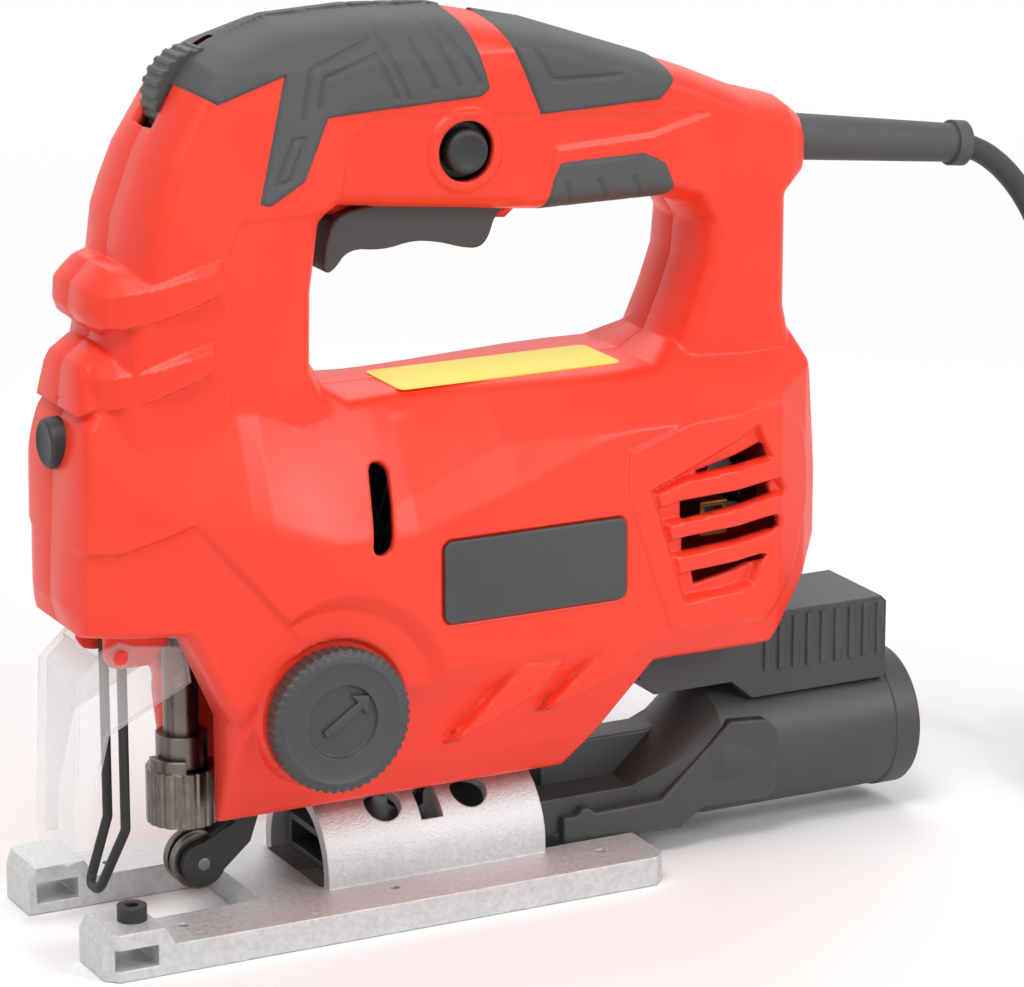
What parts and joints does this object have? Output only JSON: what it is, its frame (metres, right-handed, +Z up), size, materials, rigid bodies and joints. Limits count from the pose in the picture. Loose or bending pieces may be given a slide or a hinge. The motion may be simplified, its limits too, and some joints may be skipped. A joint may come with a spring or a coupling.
{
  "type": "jigsaw",
  "caption": "Corded jigsaw with a closed handle, tilting base plate, clear chip guard, dust port and a coiled mains lead.",
  "frame": {"origin": "on the plane of the sole, below the middle of the tool without its cord", "axes": "+X from the saw blade to the dust port, +Y to the right side, +Z up from the sole"},
  "size_m": [0.3615, 0.1123, 0.216],
  "materials": {
    "red_casing": "satin moulded plastic",
    "dark_rubber": "soft overmoulded rubber",
    "dark_plastic": "fine-grained moulded plastic",
    "cast_alloy": "sandblasted casting",
    "steel": "turned and ground",
    "clear_plastic": "clear moulded plastic",
    "yellow_paper": "plain sticker",
    "lamination": "stacked sheet",
    "copper_wire": "enamelled wire",
    "bronze": "sintered",
    "black_plastic": "moulded plastic",
    "board_green": "coated board",
    "cord_sheath": "flexible sheath"
  },
  "bodies": {
    "housing": {"housing_left": "red_casing", "housing_right": "red_casing", "housing_screws": "steel", "front_grip_left": "dark_rubber", "front_grip_right": "dark_rubber", "rear_grip_left": "dark_rubber", "rear_grip_right": "dark_rubber", "under_grip_left": "dark_rubber", "under_grip_right": "dark_rubber", "badge_left": "dark_plastic", "badge_right": "dark_plastic", "info_label": "yellow_paper", "tilt_washer": "steel", "tilt_bolt": "steel", "field_core": "lamination", "field_coils": "copper_wire", "brush_holders": "bronze", "carbon_brushes": "black_plastic", "shaft_bearings": "steel", "gear_case": "cast_alloy", "plunger_bushes": "bronze", "gear_axle": "steel", "lever_pin": "steel", "wire_guard": "steel", "switch_body": "black_plastic", "speed_board": "board_green", "cord_clamp": "black_plastic", "inner_lead": "cord_sheath", "strain_relief": "dark_rubber", "power_cord": "cord_sheath", "cord_coil": "cord_sheath", "plug_lead": "cord_sheath", "cord_tie": "black_plastic", "plug_body": "black_plastic", "plug_pins": "steel"},
    "base": {"base_plate": "cast_alloy", "fence_screw": "steel"},
    "armature": {"armature_shaft": "steel", "armature_core": "lamination", "armature_windings": "copper_wire", "commutator": "copper_wire", "cooling_fan": "black_plastic"},
    "gear": {"drive_gear": "steel", "crank_pin": "steel"},
    "plunger": {"plunger": "steel", "plunger_yoke": "steel", "blade_clamp_collar": "steel"},
    "clamp_ring": {"blade_clamp_ring": "steel"},
    "lever": {"roller_lever": "steel", "roller_pin": "steel"},
    "roller": {"guide_roller": "steel"},
    "guard": {"chip_guard": "clear_plastic"},
    "trigger": {"trigger": "dark_plastic"},
    "lock_button": {"lock_button": "dark_plastic"},
    "light_button": {"light_button": "dark_plastic"},
    "speed_dial": {"speed_dial": "dark_plastic"},
    "orbit_knob": {"orbit_knob": "dark_plastic", "orbit_shaft": "steel"},
    "dust_adapter": {"dust_adapter": "dark_plastic"}
  },
  "joints": [
    {"name": "base_tilt", "type": "hinge", "parent": "housing", "child": "base", "pos_m": [-0.02225, 0, 0.0095], "axis": [1, 0, 0], "range_deg": [-45, 45]},
    {"name": "armature_spin", "type": "hinge", "parent": "housing", "child": "armature", "pos_m": [0.01175, 0, 0.088], "axis": [1, 0, 0], "continuous": true},
    {"name": "gear_spin", "type": "hinge", "parent": "housing", "child": "gear", "pos_m": [-0.06275, 0, 0.11132], "axis": [1, 0, 0], "continuous": true},
    {"name": "plunger_stroke", "type": "slide", "parent": "housing", "child": "plunger", "axis": [0, 0, 1], "range_m": [0, 0.018]},
    {"name": "clamp_ring_turn", "type": "hinge", "parent": "plunger", "child": "clamp_ring", "pos_m": [-0.08075, 0, 0.031], "axis": [0, 0, 1], "range_deg": [0, 60], "stiffness_Nm_per_rad": 0.05, "springref_deg": -17.19},
    {"name": "lever_swing", "type": "hinge", "parent": "housing", "child": "lever", "pos_m": [-0.06625, 0, 0.0685], "axis": [0, 1, 0], "range_deg": [0, 3.5]},
    {"name": "roller_spin", "type": "hinge", "parent": "lever", "child": "roller", "pos_m": [-0.07785, 0, 0.0141], "axis": [0, 1, 0], "continuous": true},
    {"name": "guard_swing", "type": "hinge", "parent": "housing", "child": "guard", "pos_m": [-0.10035, 0, 0.0705], "axis": [0, 1, 0], "range_deg": [0, 45]},
    {"name": "trigger_pull", "type": "hinge", "parent": "housing", "child": "trigger", "pos_m": [-0.00125, 0, 0.1688], "axis": [0, 1, 0], "range_deg": [0, 7], "stiffness_Nm_per_rad": 1.2, "springref_deg": -4.58},
    {"name": "lock_press", "type": "slide", "parent": "housing", "child": "lock_button", "axis": [0, 1, 0], "range_m": [0, 0.003], "stiffness_N_per_m": 600, "springref_m": -0.001},
    {"name": "light_press", "type": "slide", "parent": "housing", "child": "light_button", "axis": [1, 0, 0], "range_m": [0, 0.0015], "stiffness_N_per_m": 800, "springref_m": -0.001},
    {"name": "dial_turn", "type": "hinge", "parent": "housing", "child": "speed_dial", "pos_m": [-0.07425, 0, 0.198], "axis": [0, 1, 0], "range_deg": [-135, 135]},
    {"name": "orbit_turn", "type": "hinge", "parent": "housing", "child": "orbit_knob", "pos_m": [-0.05515, -0.033, 0.0552], "axis": [0, 1, 0], "range_deg": [0, 90]},
    {"name": "adapter_pull", "type": "slide", "parent": "housing", "child": "dust_adapter", "axis": [1, 0, 0], "range_m": [0, 0.03]}
  ],
  "couplings": [
    {"joint": "gear_spin", "follows": "armature_spin", "ratio": -0.20833}
  ]
}
